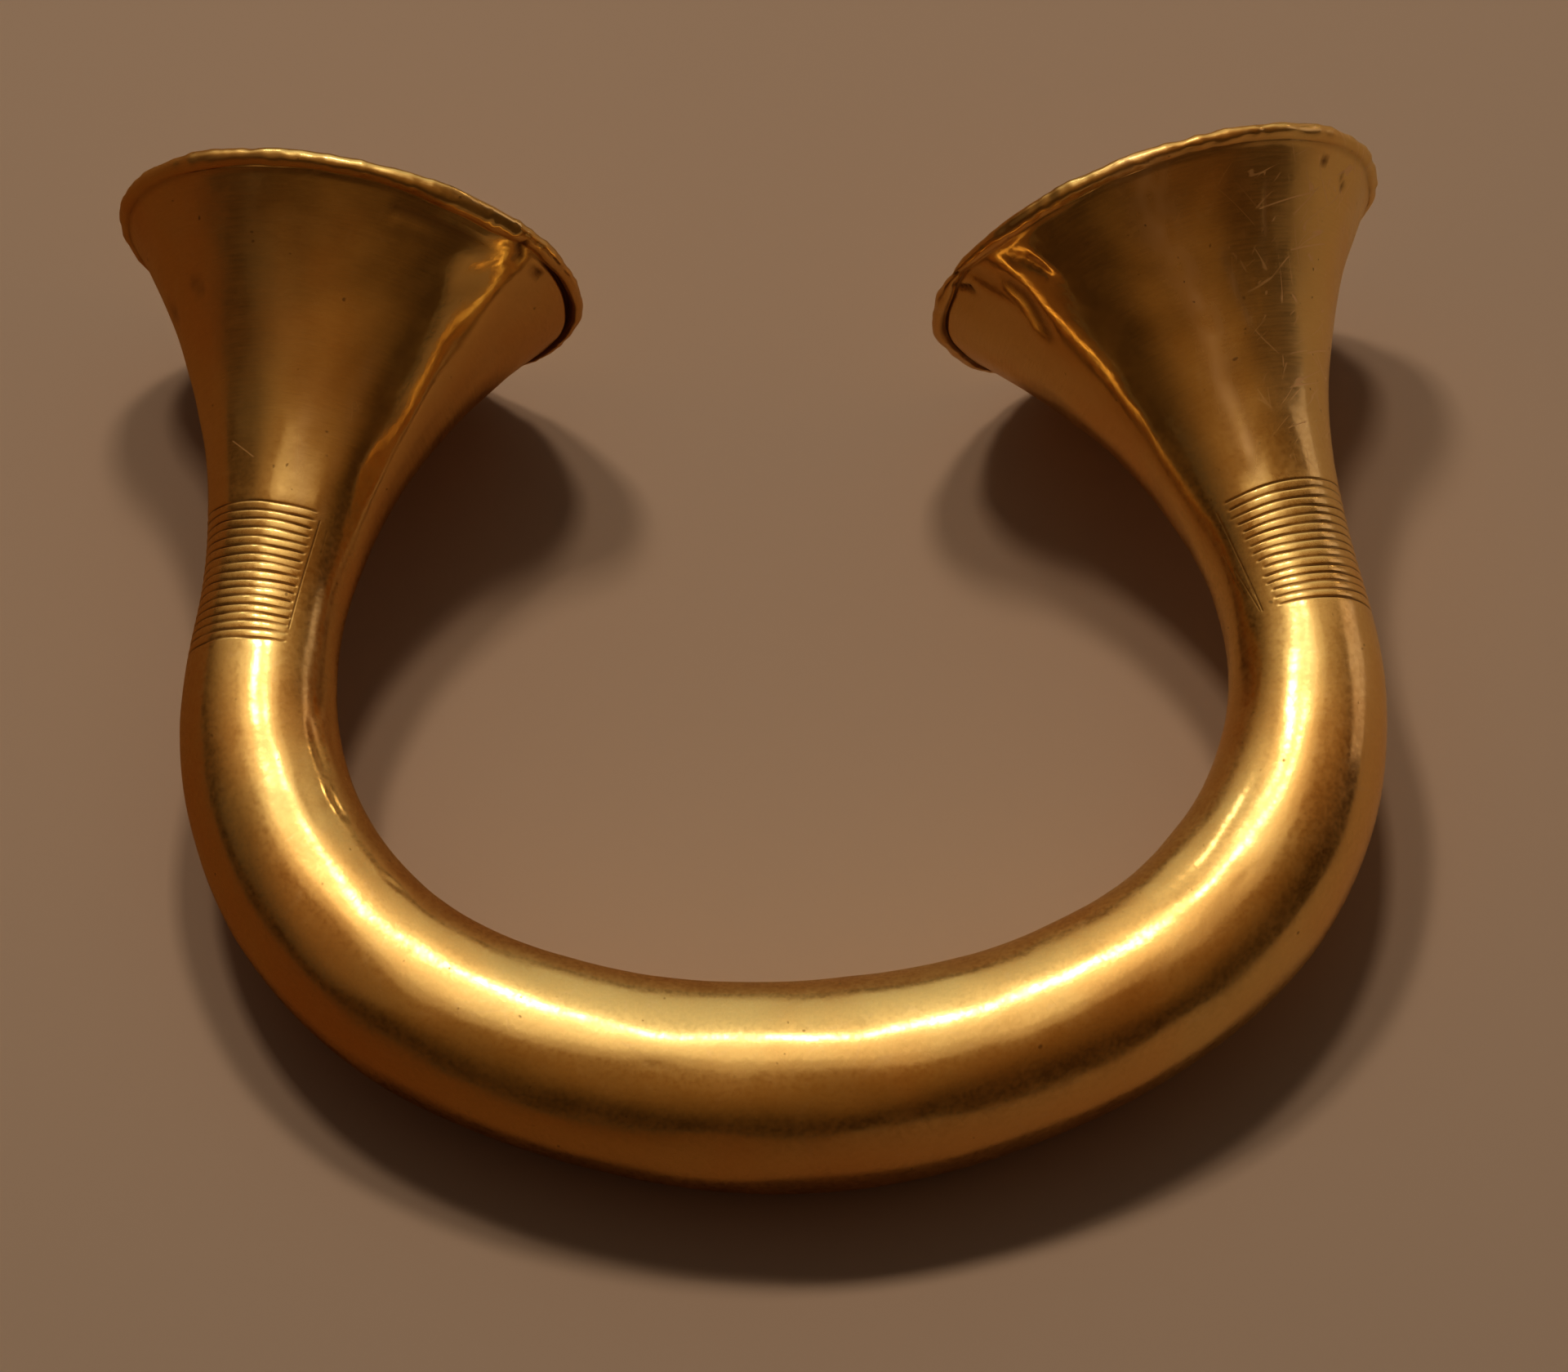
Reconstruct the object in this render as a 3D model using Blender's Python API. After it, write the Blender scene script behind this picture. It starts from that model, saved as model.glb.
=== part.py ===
"""Penannular gold bracelet with two hollow trumpet-shaped terminals, lying on its side.

Metres, +Z up. The bow is near -Y and both terminals point towards +Y, with the width along X.
The bracelet rests on the underside of the bow and on the rims of both mouths.
"""

import math

import bmesh
import bpy
import numpy as np
from mathutils import Matrix, Vector

# Centreline of the bow, from its middle out to a mouth: three arcs, then a straight terminal
BASE_LENGTH = 0.0265
BASE_TURN = math.radians(30.5)
SHOULDER_LENGTH = 0.0325
SHOULDER_TURN = math.radians(69.5)
NECK_LENGTH = 0.010
NECK_TURN = {"left": math.radians(5.0), "right": math.radians(6.0)}
TERMINAL_LENGTH = {"left": 0.0245, "right": 0.022}
ARC_EASE = 0.005

# Radius of the round section, at distances from the middle of the bow
MIDDLE_RADIUS = 0.0078
QUARTER_PLACE = 0.020
QUARTER_RADIUS = 0.00705
SHOULDER_PLACE = 0.038
SHOULDER_RADIUS = 0.00665
NECK_RADIUS = 0.0054
RADIUS_EASE = 0.008

# Trumpet: the flare swells from the neck as a power of the distance along it
FLARE_LENGTH = 0.0307
FLARE_POWER = 2.1
MOUTH_RADIUS = 0.0177

# Rolled lip round each mouth, and the hollow inside it
LIP_RADIUS = 0.00065
LIP_SINK = 0.00021
WALL = 0.0008
HOLLOW_DEPTH = 0.0225
HOLLOW_FLOOR_DEPTH = 0.0035

# How finely the surface is divided
RING_SIDES = 48
CENTRELINE_STEP = 0.00025
BOW_STEP = 0.0038
FLARE_RINGS = 11
LIP_RINGS = 9
HOLLOW_RINGS = 9
FLOOR_RINGS = 3
EASE_SAMPLES = 13

# It rests on the bow nearer than this line and on the two mouths beyond it, each with a flat this deep
MOUTHS_BEYOND = 0.040
FLAT_DEPTH = 0.0002
SETTLE_ROUNDS = 12
MERGE_DISTANCE = 0.000002

GOLD_COLOUR = (0.76, 0.47, 0.14, 1.0)
GOLD_ROUGHNESS = 0.3
SHARP_ANGLE = math.radians(40)


def clear_scene():
    for obj in list(bpy.data.objects):
        bpy.data.objects.remove(obj, do_unlink=True)


def gold_material():
    material = bpy.data.materials.new("gold")
    material.use_nodes = True
    shader = material.node_tree.nodes["Principled BSDF"]
    shader.inputs["Base Color"].default_value = GOLD_COLOUR
    shader.inputs["Metallic"].default_value = 1.0
    shader.inputs["Roughness"].default_value = GOLD_ROUGHNESS
    return material


def arm_length(side):
    """Along the centreline, from the middle of the bow to the plane of the mouth."""
    return BASE_LENGTH + SHOULDER_LENGTH + NECK_LENGTH + TERMINAL_LENGTH[side]


def eased(places, values, at, ease):
    """Straight lines between the values, rounded off over the ease distance on either side."""
    offsets = np.linspace(-ease, ease, EASE_SAMPLES)
    weights = 1 + np.cos(np.pi * offsets / ease)
    samples = [np.interp(at + offset, places, values) for offset in offsets]
    return np.average(samples, axis=0, weights=weights)


def centreline():
    """Distances along the bow, right of the middle positive, with the heading and point at each."""
    ends = np.cumsum([BASE_LENGTH, SHOULDER_LENGTH, NECK_LENGTH])
    turns = {
        side: np.cumsum([BASE_TURN, SHOULDER_TURN, NECK_TURN[side]]) for side in NECK_TURN
    }
    places = np.concatenate([-ends[::-1], [0], ends])
    headings = np.concatenate([-turns["left"][::-1], [0], turns["right"]])
    steps_left = math.ceil(arm_length("left") / CENTRELINE_STEP)
    steps_right = math.ceil(arm_length("right") / CENTRELINE_STEP)
    distances = np.arange(-steps_left, steps_right + 1) * CENTRELINE_STEP
    heading = eased(places, headings, distances, ARC_EASE)
    between = (heading[1:] + heading[:-1]) / 2
    x = np.concatenate([[0], np.cumsum(np.cos(between))]) * CENTRELINE_STEP
    y = np.concatenate([[0], np.cumsum(np.sin(between))]) * CENTRELINE_STEP
    return distances, heading, x - x[steps_left], y - y[steps_left]


def outer_radius(distance):
    """Radius of the outside at a distance from the middle, the lips left out."""
    side = "left" if distance < 0 else "right"
    flare_start = arm_length(side) - FLARE_LENGTH
    places = [QUARTER_PLACE, SHOULDER_PLACE, flare_start]
    radii = [QUARTER_RADIUS, SHOULDER_RADIUS, NECK_RADIUS]
    places = np.concatenate([-np.array(places[::-1]), [0], places])
    radii = np.concatenate([radii[::-1], [MIDDLE_RADIUS], radii])
    plain = float(eased(places, radii, np.array([distance]), RADIUS_EASE)[0])
    along = max(abs(distance) - flare_start, 0) / FLARE_LENGTH
    return plain + (MOUTH_RADIUS - NECK_RADIUS) * along**FLARE_POWER


def outer_slope(distance):
    """How much the outside widens for each metre towards the mouth."""
    reach = CENTRELINE_STEP
    return (outer_radius(distance) - outer_radius(distance - math.copysign(reach, distance))) / reach


def inner_radius(distance):
    """Radius of the hollow: the wall's thickness is square to the slope of the flare."""
    return outer_radius(distance) - WALL * math.hypot(1, outer_slope(distance))


def lip_rings(side):
    """The round section of the lip, from where it leaves the outside to where it meets the hollow."""
    sign = -1 if side == "left" else 1
    back = arm_length(side) - LIP_RADIUS
    slope = math.atan(outer_slope(sign * back))
    along = Vector((math.cos(slope), math.sin(slope)))
    outward = Vector((-math.sin(slope), math.cos(slope)))
    centre = Vector((back, outer_radius(sign * back))) - outward * LIP_SINK
    to_hollow = WALL - LIP_SINK
    first = math.pi - math.asin(LIP_SINK / LIP_RADIUS)
    last = math.asin(to_hollow / LIP_RADIUS) - math.pi
    rings = []
    for angle in np.linspace(first, last, LIP_RINGS):
        place = centre + LIP_RADIUS * (along * math.cos(angle) + outward * math.sin(angle))
        rings.append((sign * place.x, place.y))
    return rings


def arm_rings(side):
    """Distance and radius of each ring, from beside the middle out to the mouth and into the hollow."""
    sign = -1 if side == "left" else 1
    mouth = arm_length(side)
    flare_start = mouth - FLARE_LENGTH
    lip = lip_rings(side)
    bow_count = round(flare_start / BOW_STEP)
    bow = np.linspace(0, flare_start, bow_count + 1)[1:]
    flare = np.linspace(flare_start, abs(lip[0][0]), FLARE_RINGS + 1)[1:-1]
    hollow = np.linspace(abs(lip[-1][0]), mouth - HOLLOW_DEPTH, HOLLOW_RINGS + 1)[1:]
    rings = [(sign * place, outer_radius(sign * place)) for place in (*bow, *flare)]
    rings += lip
    rings += [(sign * place, inner_radius(sign * place)) for place in hollow]
    floor_radius = inner_radius(sign * hollow[-1])
    for angle in np.linspace(0, math.pi / 2, FLOOR_RINGS + 2)[1:-1]:
        place = hollow[-1] - HOLLOW_FLOOR_DEPTH * math.sin(angle)
        rings.append((sign * place, floor_radius * math.cos(angle)))
    return rings


def ring_matrix(line, distance, radius):
    """Turns the unit circle in XY into the bow's section there, in the plane of the bow."""
    distances, headings, xs, ys = line
    heading = np.interp(distance, distances, headings)
    across = Vector((-math.sin(heading), math.cos(heading), 0))
    centre = Vector((np.interp(distance, distances, xs), np.interp(distance, distances, ys), 0))
    upward = Vector((0, 0, 1))
    turn = Matrix((across, upward, across.cross(upward))).transposed().to_4x4()
    return Matrix.Translation(centre) @ turn @ Matrix.Diagonal((radius, radius, 1, 1))


def sweep_body(bm):
    """One closed skin: left hollow, left mouth, bow, right mouth, right hollow."""
    line = centreline()
    middle = [(0.0, outer_radius(0.0))]
    rings = arm_rings("left")[::-1] + middle + arm_rings("right")
    before = ring_matrix(line, *rings[0])
    bmesh.ops.create_circle(bm, cap_ends=True, radius=1, segments=RING_SIDES, matrix=before)
    edges = [edge for edge in bm.edges if edge.is_boundary]
    for distance, radius in rings[1:]:
        after = ring_matrix(line, distance, radius)
        made = bmesh.ops.extrude_edge_only(bm, edges=edges)["geom"]
        verts = [item for item in made if isinstance(item, bmesh.types.BMVert)]
        edges = [item for item in made if isinstance(item, bmesh.types.BMEdge) and item.is_boundary]
        bmesh.ops.transform(bm, matrix=after @ before.inverted(), verts=verts)
        before = after
    bmesh.ops.holes_fill(bm, edges=edges, sides=0)
    bmesh.ops.recalc_face_normals(bm, faces=bm.faces[:])


def lowest(bm, belongs):
    return min((vert.co for vert in bm.verts if belongs(vert.co)), key=lambda co: co.z)


def settle(bm):
    """Turns the body until the bow and both rims touch one level plane, and puts them FLAT_DEPTH under it."""
    for _ in range(SETTLE_ROUNDS):
        bow = lowest(bm, lambda co: co.y < MOUTHS_BEYOND)
        left = lowest(bm, lambda co: co.y > MOUTHS_BEYOND and co.x < 0)
        right = lowest(bm, lambda co: co.y > MOUTHS_BEYOND and co.x > 0)
        up = (right - bow).cross(left - bow).normalized()
        turn = up.rotation_difference(Vector((0, 0, 1))).to_matrix()
        bmesh.ops.rotate(bm, cent=(0, 0, 0), matrix=turn, verts=bm.verts[:])
    corners = np.array([vert.co for vert in bm.verts])
    centre = (corners.max(axis=0) + corners.min(axis=0)) / 2
    shift = Vector((-centre[0], -centre[1], -corners[:, 2].min() - FLAT_DEPTH))
    bmesh.ops.translate(bm, vec=shift, verts=bm.verts[:])


def cut_flats(bm):
    """Takes off what is under the floor, which leaves a small flat at each of the three places."""
    everything = bm.verts[:] + bm.edges[:] + bm.faces[:]
    bmesh.ops.bisect_plane(
        bm, geom=everything, plane_co=(0, 0, 0), plane_no=(0, 0, 1), clear_inner=True
    )
    bmesh.ops.remove_doubles(bm, verts=bm.verts[:], dist=MERGE_DISTANCE)
    open_edges = [edge for edge in bm.edges if edge.is_boundary]
    bmesh.ops.holes_fill(bm, edges=open_edges, sides=0)
    bmesh.ops.recalc_face_normals(bm, faces=bm.faces[:])


def build_bracelet(collection):
    bm = bmesh.new()
    sweep_body(bm)
    settle(bm)
    cut_flats(bm)
    mesh = bpy.data.meshes.new("bracelet")
    bm.to_mesh(mesh)
    bm.free()
    mesh.materials.append(gold_material())
    mesh.shade_smooth()
    mesh.set_sharp_from_angle(angle=SHARP_ANGLE)
    bracelet = bpy.data.objects.new("bracelet", mesh)
    collection.objects.link(bracelet)
    return bracelet


clear_scene()
bracelet_collection = bpy.data.collections.new("penannular_bracelet")
bpy.context.scene.collection.children.link(bracelet_collection)
build_bracelet(bracelet_collection)
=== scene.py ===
"""Penannular gold bracelet with two hollow trumpet-shaped terminals, lying on a pale floor.

Metres, +Z up. The bow is near -Y and both terminals point towards +Y, with the width along X.
A place on the bracelet is its distance along the bow, right of the middle positive, and its
degrees around the section, counted from the inner side over the top.
"""

import math

import bmesh
import bpy
import numpy as np
from mathutils import Matrix, Vector, noise


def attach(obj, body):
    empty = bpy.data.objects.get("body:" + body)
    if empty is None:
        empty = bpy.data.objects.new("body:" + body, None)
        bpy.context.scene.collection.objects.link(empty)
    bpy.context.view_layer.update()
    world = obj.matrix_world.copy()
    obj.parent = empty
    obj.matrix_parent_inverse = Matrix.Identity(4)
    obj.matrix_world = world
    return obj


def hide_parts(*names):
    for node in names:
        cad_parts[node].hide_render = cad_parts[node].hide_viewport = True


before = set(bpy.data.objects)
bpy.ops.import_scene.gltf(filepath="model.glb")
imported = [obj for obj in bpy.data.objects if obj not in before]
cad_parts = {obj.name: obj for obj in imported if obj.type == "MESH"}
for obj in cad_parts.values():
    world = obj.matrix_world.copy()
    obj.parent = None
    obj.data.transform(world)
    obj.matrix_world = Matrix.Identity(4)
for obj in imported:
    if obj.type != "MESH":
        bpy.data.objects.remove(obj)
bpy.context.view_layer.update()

# The body: one skin of beaten gold, round in section. It thins to a neck at either end and swells
# there into a trumpet, whose edge is turned back over the outside as a round lip.
# The skin is worked straight, as a tube along X, and only then bent into a bow.

# Along the bow, from its middle to the plane of each mouth
ARM_LENGTH = {"left": 0.0935, "right": 0.0910}

# Radius of the round section, at distances from the middle of the bow. Each change of taper is
# rounded off over the ease
MIDDLE_RADIUS = 0.0078
QUARTER_PLACE = 0.020
QUARTER_RADIUS = 0.00705
SHOULDER_PLACE = 0.038
SHOULDER_RADIUS = 0.00665
NECK_RADIUS = 0.0054
RADIUS_EASE = 0.008
EASE_SAMPLES = 13

# Trumpet: the flare swells from the neck as a power of the distance along it. The slope of the
# skin is taken over a short reach
FLARE_LENGTH = 0.0307
FLARE_POWER = 2.1
MOUTH_RADIUS = 0.0177
SLOPE_REACH = 0.00025

# Round lip of each mouth, and the hollow inside it
LIP_RADIUS = 0.00065
LIP_SINK = 0.00021
WALL = 0.0008
HOLLOW_DEPTH = 0.0225
HOLLOW_FLOOR_DEPTH = 0.0035

# Cuts of the two ribbed bands. The first stands this far from the middle of the bow, and half the
# width of a cut is a share of the pitch
RIB_PITCH = 0.00066
RIB_START = {"left": 0.0597, "right": 0.0581}
RIB_CUTS = {"left": 17, "right": 15}
CUT_HALF_WIDTH = 0.13

# How close the skin's rings stand: on plain stretches, the creased left bend, the cones, and around
# each cut, as shares of the pitch from the cut. The foot of the lip has rings of its own
PLAIN_STEP = 0.0008
CREASED_BEND = (0.034, 0.0575)
BEND_STEP = {"left": 0.0005, "right": 0.0008}
CONE_STEP = {"left": 0.00065, "right": 0.0005}
RIB_RINGS = (-2 * CUT_HALF_WIDTH, -CUT_HALF_WIDTH, 0.0, CUT_HALF_WIDTH, 2 * CUT_HALF_WIDTH, 0.5)
FOOT_STEPS = (0.00055, 0.00040, 0.00028, 0.00018, 0.00010, 0.00005)
LIP_RINGS = 19
HOLLOW_RINGS = 18
FLOOR_RINGS = 6

# Lines of the skin along the bow. They crowd together on the upper side
SKIN_LINES = 156
CROWDING = 0.5
CROWDED_AT = math.radians(75)

# Corners closer than this are merged. The slack keeps a rounding error from adding a step
MERGE_DISTANCE = 0.000002
STEP_SLACK = 0.000001


def eased(places, values, at, ease):
    """Straight lines between the values, rounded off over the ease distance on either side."""
    offsets = np.linspace(-ease, ease, EASE_SAMPLES)
    weights = 1 + np.cos(np.pi * offsets / ease)
    samples = [np.interp(at + offset, places, values) for offset in offsets]
    return np.average(samples, axis=0, weights=weights)


def outer_radius(along):
    """Radius of the outside at a distance from the middle, the lips left out."""
    flare_start = ARM_LENGTH["left" if along < 0 else "right"] - FLARE_LENGTH
    places = np.array([QUARTER_PLACE, SHOULDER_PLACE, flare_start])
    radii = [QUARTER_RADIUS, SHOULDER_RADIUS, NECK_RADIUS]
    both_ways = np.concatenate([-places[::-1], [0], places])
    both_radii = np.concatenate([radii[::-1], [MIDDLE_RADIUS], radii])
    plain = float(eased(both_ways, both_radii, np.array([along]), RADIUS_EASE)[0])
    share = max(abs(along) - flare_start, 0) / FLARE_LENGTH
    return plain + (MOUTH_RADIUS - NECK_RADIUS) * share**FLARE_POWER


def outer_slope(along):
    """How much the outside widens for each metre towards the mouth."""
    before = along - math.copysign(SLOPE_REACH, along)
    return (outer_radius(along) - outer_radius(before)) / SLOPE_REACH


def inner_radius(along):
    """Radius of the hollow: the wall's thickness is square to the slope of the flare."""
    return outer_radius(along) - WALL * math.hypot(1, outer_slope(along))


def lip_foot_angle():
    """Around the lip's own section, from the cone's direction to where the lip meets the cone."""
    return math.pi - math.asin(LIP_SINK / LIP_RADIUS)


def lip_rings(side):
    """The round section of the lip, from its foot on the outside to where it meets the hollow."""
    sign = -1 if side == "left" else 1
    back = ARM_LENGTH[side] - LIP_RADIUS
    slope = math.atan(outer_slope(sign * back))
    towards_mouth = Vector((math.cos(slope), math.sin(slope)))
    outward = Vector((-math.sin(slope), math.cos(slope)))
    centre = Vector((back, outer_radius(sign * back))) - outward * LIP_SINK
    last = math.asin((WALL - LIP_SINK) / LIP_RADIUS) - math.pi
    rings = []
    for angle in np.linspace(lip_foot_angle(), last, LIP_RINGS):
        turned = towards_mouth * math.cos(angle) + outward * math.sin(angle)
        rings.append(tuple(centre + turned * LIP_RADIUS))
    return rings


def evenly(start, end, step):
    """Places from start up to, but without, the end, no further apart than the step."""
    count = math.ceil(abs(end - start) / step - STEP_SLACK)
    return list(np.linspace(start, end, count, endpoint=False))


def arm_rings(side):
    """Distance and radius of each ring, from the middle out to the mouth and into the hollow."""
    sign = -1 if side == "left" else 1
    lip = lip_rings(side)
    foot = lip[0][0]
    cuts = RIB_START[side] + RIB_PITCH * np.arange(RIB_CUTS[side])
    ribs = list(np.add.outer(cuts, RIB_PITCH * np.array(RIB_RINGS)).ravel())
    places = evenly(0, CREASED_BEND[0], PLAIN_STEP)
    places += evenly(*CREASED_BEND, BEND_STEP[side])
    places += evenly(CREASED_BEND[1], ribs[0], PLAIN_STEP)
    places += ribs[:-1]
    places += evenly(ribs[-1], foot - FOOT_STEPS[0], CONE_STEP[side])
    places += [foot - step for step in FOOT_STEPS]
    rings = [(place, outer_radius(sign * place)) for place in places] + lip
    hollow = np.linspace(lip[-1][0], ARM_LENGTH[side] - HOLLOW_DEPTH, HOLLOW_RINGS + 1)[1:]
    rings += [(place, inner_radius(sign * place)) for place in hollow]
    floor_radius = inner_radius(sign * hollow[-1])
    for angle in np.linspace(0, math.pi / 2, FLOOR_RINGS + 2)[1:-1]:
        depth = HOLLOW_FLOOR_DEPTH * math.sin(angle)
        rings.append((hollow[-1] - depth, floor_radius * math.cos(angle)))
    return rings


def rings_with_rim(side):
    """Signed distance, radius and way over the skin from the rim, which is negative on the outside."""
    sign = -1 if side == "left" else 1
    rings = np.array(arm_rings(side))
    way = np.concatenate([[0], np.cumsum(np.hypot(*np.diff(rings, axis=0).T))])
    rim = int(np.argmax(rings[:, 0]))
    return [(sign * place, radius, at - way[rim]) for (place, radius), at in zip(rings, way)]


def raise_skin(bm):
    """A flat sheet rolled into one closed tube: left hollow, left mouth, bow, right mouth, hollow."""
    even = np.linspace(0, 2 * np.pi, SKIN_LINES, endpoint=False)
    angles = even - CROWDING * np.sin(even - CROWDED_AT)
    rings = np.array(rings_with_rim("left")[::-1] + rings_with_rim("right")[1:])
    bmesh.ops.create_grid(bm, x_segments=SKIN_LINES, y_segments=len(rings) - 1, size=0.5)
    sheet = np.array([vert.co for vert in bm.verts]) + 0.5
    angle = angles[np.round(sheet[:, 0] * SKIN_LINES).astype(int) % SKIN_LINES]
    along, radius, rim_way = rings[np.round(sheet[:, 1] * (len(rings) - 1)).astype(int)].T
    tube = np.stack([along, radius * np.cos(angle), radius * np.sin(angle)], 1)
    laid_straight = bm.verts.layers.float_vector.new("laid_straight")
    from_rim = bm.verts.layers.float.new("from_rim")
    bm.verts.layers.float.new("painted_shade")
    bm.verts.layers.float.new("rub_and_sheen")
    for vert, place, way in zip(bm.verts, tube, rim_way):
        vert.co = place
        vert[laid_straight] = place
        vert[from_rim] = way
    bmesh.ops.remove_doubles(bm, verts=bm.verts[:], dist=MERGE_DISTANCE)
    open_edges = [edge for edge in bm.edges if edge.is_boundary]
    bmesh.ops.holes_fill(bm, edges=open_edges, sides=0)
    bmesh.ops.recalc_face_normals(bm, faces=bm.faces[:])


# The finest hammer marks are at the mouths, so the skin's lines are doubled there
FINE_OUTSIDE = {"left": -0.0030, "right": -0.0085}
FINE_INSIDE = 0.0012


def refine_mouths(bm):
    """Cuts each edge of the rings near the rim in two."""
    laid_straight = bm.verts.layers.float_vector["laid_straight"]
    from_rim = bm.verts.layers.float["from_rim"]
    round_the_mouth = []
    for edge in bm.edges:
        first, second = edge.verts
        side = "left" if first[laid_straight].x < 0 else "right"
        on_one_ring = abs(first[from_rim] - second[from_rim]) < MERGE_DISTANCE
        if on_one_ring and FINE_OUTSIDE[side] < first[from_rim] < FINE_INSIDE:
            round_the_mouth.append(edge)
    bmesh.ops.subdivide_edges(bm, edges=round_the_mouth, cuts=1)


# How far apart the random numbers of two seeds lie
SEED_SHIFT = (7.31, 3.17, 1.93)


class Skin:
    """The straight skin while it is worked: where its corners are, and how each is to be moved."""

    def __init__(self, bm):
        laid_straight = bm.verts.layers.float_vector["laid_straight"]
        from_rim = bm.verts.layers.float["from_rim"]
        self.straight = np.array([vert[laid_straight] for vert in bm.verts])
        self.from_rim = np.array([vert[from_rim] for vert in bm.verts])
        self.normal = np.array([vert.normal for vert in bm.verts])
        self.along = self.straight[:, 0]
        self.radius = np.maximum(np.hypot(self.straight[:, 1], self.straight[:, 2]), MERGE_DISTANCE)
        self.outward = self.straight * (0, 1, 1) / self.radius[:, None]
        around = np.degrees(np.arctan2(self.straight[:, 2], self.straight[:, 1]))
        # From -90 to 270 degrees, so the join lies underneath
        self.around = (around + 90) % 360 - 90
        self.outside = self.from_rim < 0
        self.arm = {"left": self.along < 0, "right": self.along >= 0}
        self.raised = np.zeros(len(self.along))
        self.moved = np.zeros_like(self.straight)
        self.painted_shade = np.zeros(len(self.along))
        self.rub_and_sheen = np.zeros(len(self.along))

    def noise(self, seed, wave_along, wave_around):
        """A smooth random number, about -1 to 1, at every corner, in waves this long."""
        shift = seed * np.array(SEED_SHIFT)
        points = self.straight / (wave_along, wave_around, wave_around) + shift
        return 2 * np.array([noise.noise(Vector(point)) for point in points])

    def fluting(self, seed, wave_along, turns):
        """The same, but by the direction around the section, so it widens with the trumpet."""
        points = self.outward * turns + seed
        points[:, 0] += self.along / wave_along
        return 2 * np.array([noise.noise(Vector(point)) for point in points])

    def nearness(self, path, width):
        """1 on a line drawn on the outside, 0 half the width away. The path is (along, degrees)."""
        reach = outer_radius(sum(along for along, _ in path) / len(path))
        flat = np.stack([self.along, np.radians(self.around) * reach], 1)
        line = [np.array((along, math.radians(degrees) * reach)) for along, degrees in path]
        gap = np.full(len(flat), np.inf)
        for start, end in zip(line[:-1], line[1:]):
            share = np.clip((flat - start) @ (end - start) / ((end - start) @ (end - start)), 0, 1)
            gap = np.minimum(gap, np.linalg.norm(flat - start - np.outer(share, end - start), axis=1))
        return np.where(self.outside, np.clip(1 - gap / (width / 2), 0, 1), 0)


def smooth(share):
    """Eased in and out between 0 and 1."""
    share = np.clip(share, 0, 1)
    return share * share * (3 - 2 * share)


body = bmesh.new()
raise_skin(body)
refine_mouths(body)
body.normal_update()
skin = Skin(body)

# Beating leaves the sheet faintly uneven: long shallow waves that run along the bow, and small
# ones of the hammer's face. Each is a height and the length of its wave along and around.
BEATEN = (
    (0.000060, 0.018, 0.0050),
    (0.000050, 0.007, 0.0030),
    (0.000012, 0.0022, 0.0022),
)
for seed, (height, wave_along, wave_around) in enumerate(BEATEN):
    skin.raised += height * skin.noise(seed, wave_along, wave_around)

# Each trumpet was stretched over a stake, which left shallow flutes in its sheet. They run down it
# and fade out towards the neck.
FLUTE_HEIGHT = 0.000045
FLUTE_LENGTH = 0.030
FLUTE_TURNS = 3.0
FLUTE_SEED = 5
FLUTES_BEGIN = 0.064
FLUTES_FULL = 0.074
flutes = FLUTE_HEIGHT * skin.fluting(FLUTE_SEED, FLUTE_LENGTH, FLUTE_TURNS)
skin.raised += flutes * smooth((np.abs(skin.along) - FLUTES_BEGIN) / (FLUTES_FULL - FLUTES_BEGIN))

# The ribs: each band is a row of cuts, made with a narrow chisel across the upper and outer side
# of the neck. What is left between two cuts is a low rounded rib.

# The depth of a cut and the painted shade in it change with the hand, in waves this long along and
# around
CUT_DEPTH = 0.00010
CUT_DEPTH_SPREAD = 0.5
CUT_SHADE = 0.8
CUT_SHADE_SPREAD = 0.4
HAND_SEED = 11
HAND_WAVE = (RIB_PITCH, 0.0025)
RIB_CROWN = 0.000024

# How far a cut wanders from its straight line, and in what waves
CUT_WANDER = 0.00005
WANDER_SEED = 12
WANDER_WAVE = (1.7 * RIB_PITCH, 0.0030)

# Degrees around at which the cuts begin, at the bow's end of a band and at its mouth's end, the
# degrees at which they all end, and over how many degrees a cut runs out
CUTS_FROM = {"left": (70.0, 66.0), "right": (70.5, 55.5)}
CUTS_TO = 294.0
CUT_END = 1.8

# By how many degrees the ends of the cuts are out of line, and in what rhythm
RAGGED_END = {"left": 0.7, "right": 2.2}
RAGGED_RHYTHM = (2.7, 1.3)
RAGGED_START = 0.4


def cut_ribs(skin, side):
    """One band of cuts. A place on it is counted in pitches from its first cut."""
    sign = -1 if side == "left" else 1
    place = (sign * skin.along - RIB_START[side]) / RIB_PITCH
    cut = np.clip(np.round(place), 0, RIB_CUTS[side] - 1)
    off = np.abs(place - cut)
    bow_end, mouth_end = CUTS_FROM[side]
    first_beat, second_beat = RAGGED_RHYTHM
    ragged = np.sin(cut * first_beat + RAGGED_START) * np.cos(cut * second_beat)
    ragged = RAGGED_END[side] * ragged
    starts = bow_end + (mouth_end - bow_end) * cut / (RIB_CUTS[side] - 1) + ragged
    on_band = smooth((skin.around - starts) / CUT_END)
    on_band = on_band * smooth((CUTS_TO - skin.around + ragged) / CUT_END)
    on_band = on_band * skin.outside * (off < 0.5 + MERGE_DISTANCE)
    groove = np.clip(1 - off / CUT_HALF_WIDTH, 0, 1) * on_band
    crown = smooth((off - CUT_HALF_WIDTH) / (0.5 - CUT_HALF_WIDTH)) * on_band
    hand = skin.noise(HAND_SEED, *HAND_WAVE)
    skin.raised += RIB_CROWN * crown - CUT_DEPTH * groove * (1 + CUT_DEPTH_SPREAD * hand)
    skin.moved[:, 0] += CUT_WANDER * skin.noise(WANDER_SEED, *WANDER_WAVE) * on_band
    # Painted shade: each cut is coloured dark brown at its bottom, where shade falls in it
    skin.painted_shade = np.maximum(skin.painted_shade, groove * (CUT_SHADE + CUT_SHADE_SPREAD * hand))


cut_ribs(skin, "left")
cut_ribs(skin, "right")
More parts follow.
